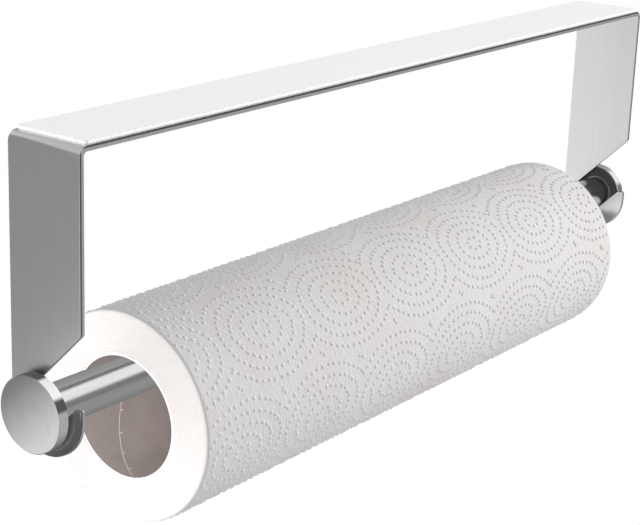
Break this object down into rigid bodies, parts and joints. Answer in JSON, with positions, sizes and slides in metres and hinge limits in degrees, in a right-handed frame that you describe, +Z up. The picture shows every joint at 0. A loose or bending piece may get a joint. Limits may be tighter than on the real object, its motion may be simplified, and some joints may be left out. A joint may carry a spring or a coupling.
{
  "type": "paper towel holder",
  "caption": "Under-shelf paper towel holder: a bent steel strip with slotted side plates, a lift-out rod with end discs, and a roll of embossed kitchen paper hung on the rod.",
  "frame": {"origin": "centre of the top face, where the holder is stuck under a shelf", "axes": "+Z up and out of the top face, +X along the rod, -Y towards the open fronts of the rod slots"},
  "size_m": [0.378, 0.0764, 0.1437],
  "materials": {
    "brushed_stainless_sheet": "brushed along the plates' length",
    "foam_tape": "closed-cell acrylic foam",
    "release_paper": "siliconed, smooth",
    "satin_stainless_tube": "polished lengthways to a satin",
    "turned_steel": "zinc plated, turned",
    "black_oxide_steel": "black oxide",
    "turned_stainless": "turned and lapped, satin face",
    "core_board": "spiral-wound grey board",
    "kitchen_paper": "embossed tissue"
  },
  "bodies": {
    "holder": {"bracket": "brushed_stainless_sheet", "adhesive_pad": "foam_tape", "release_liner": "release_paper"},
    "rod": {"rod_tube": "satin_stainless_tube", "left_tube_plug": "turned_steel", "right_tube_plug": "turned_steel", "left_stud": "black_oxide_steel", "right_stud": "black_oxide_steel", "left_end_disc": "turned_stainless", "right_end_disc": "turned_stainless"},
    "roll": {"cardboard_core": "core_board", "paper_roll": "kitchen_paper"}
  },
  "joints": [
    {"name": "rod_lift_out", "type": "slide", "parent": "holder", "child": "rod", "axis": [0, -0.7071, 0.7071], "range_m": [0, 0.05]},
    {"name": "roll_spin", "type": "hinge", "parent": "rod", "child": "roll", "pos_m": [-0.0055, 0.0015, -0.10545], "axis": [1, 0, 0], "continuous": true}
  ]
}
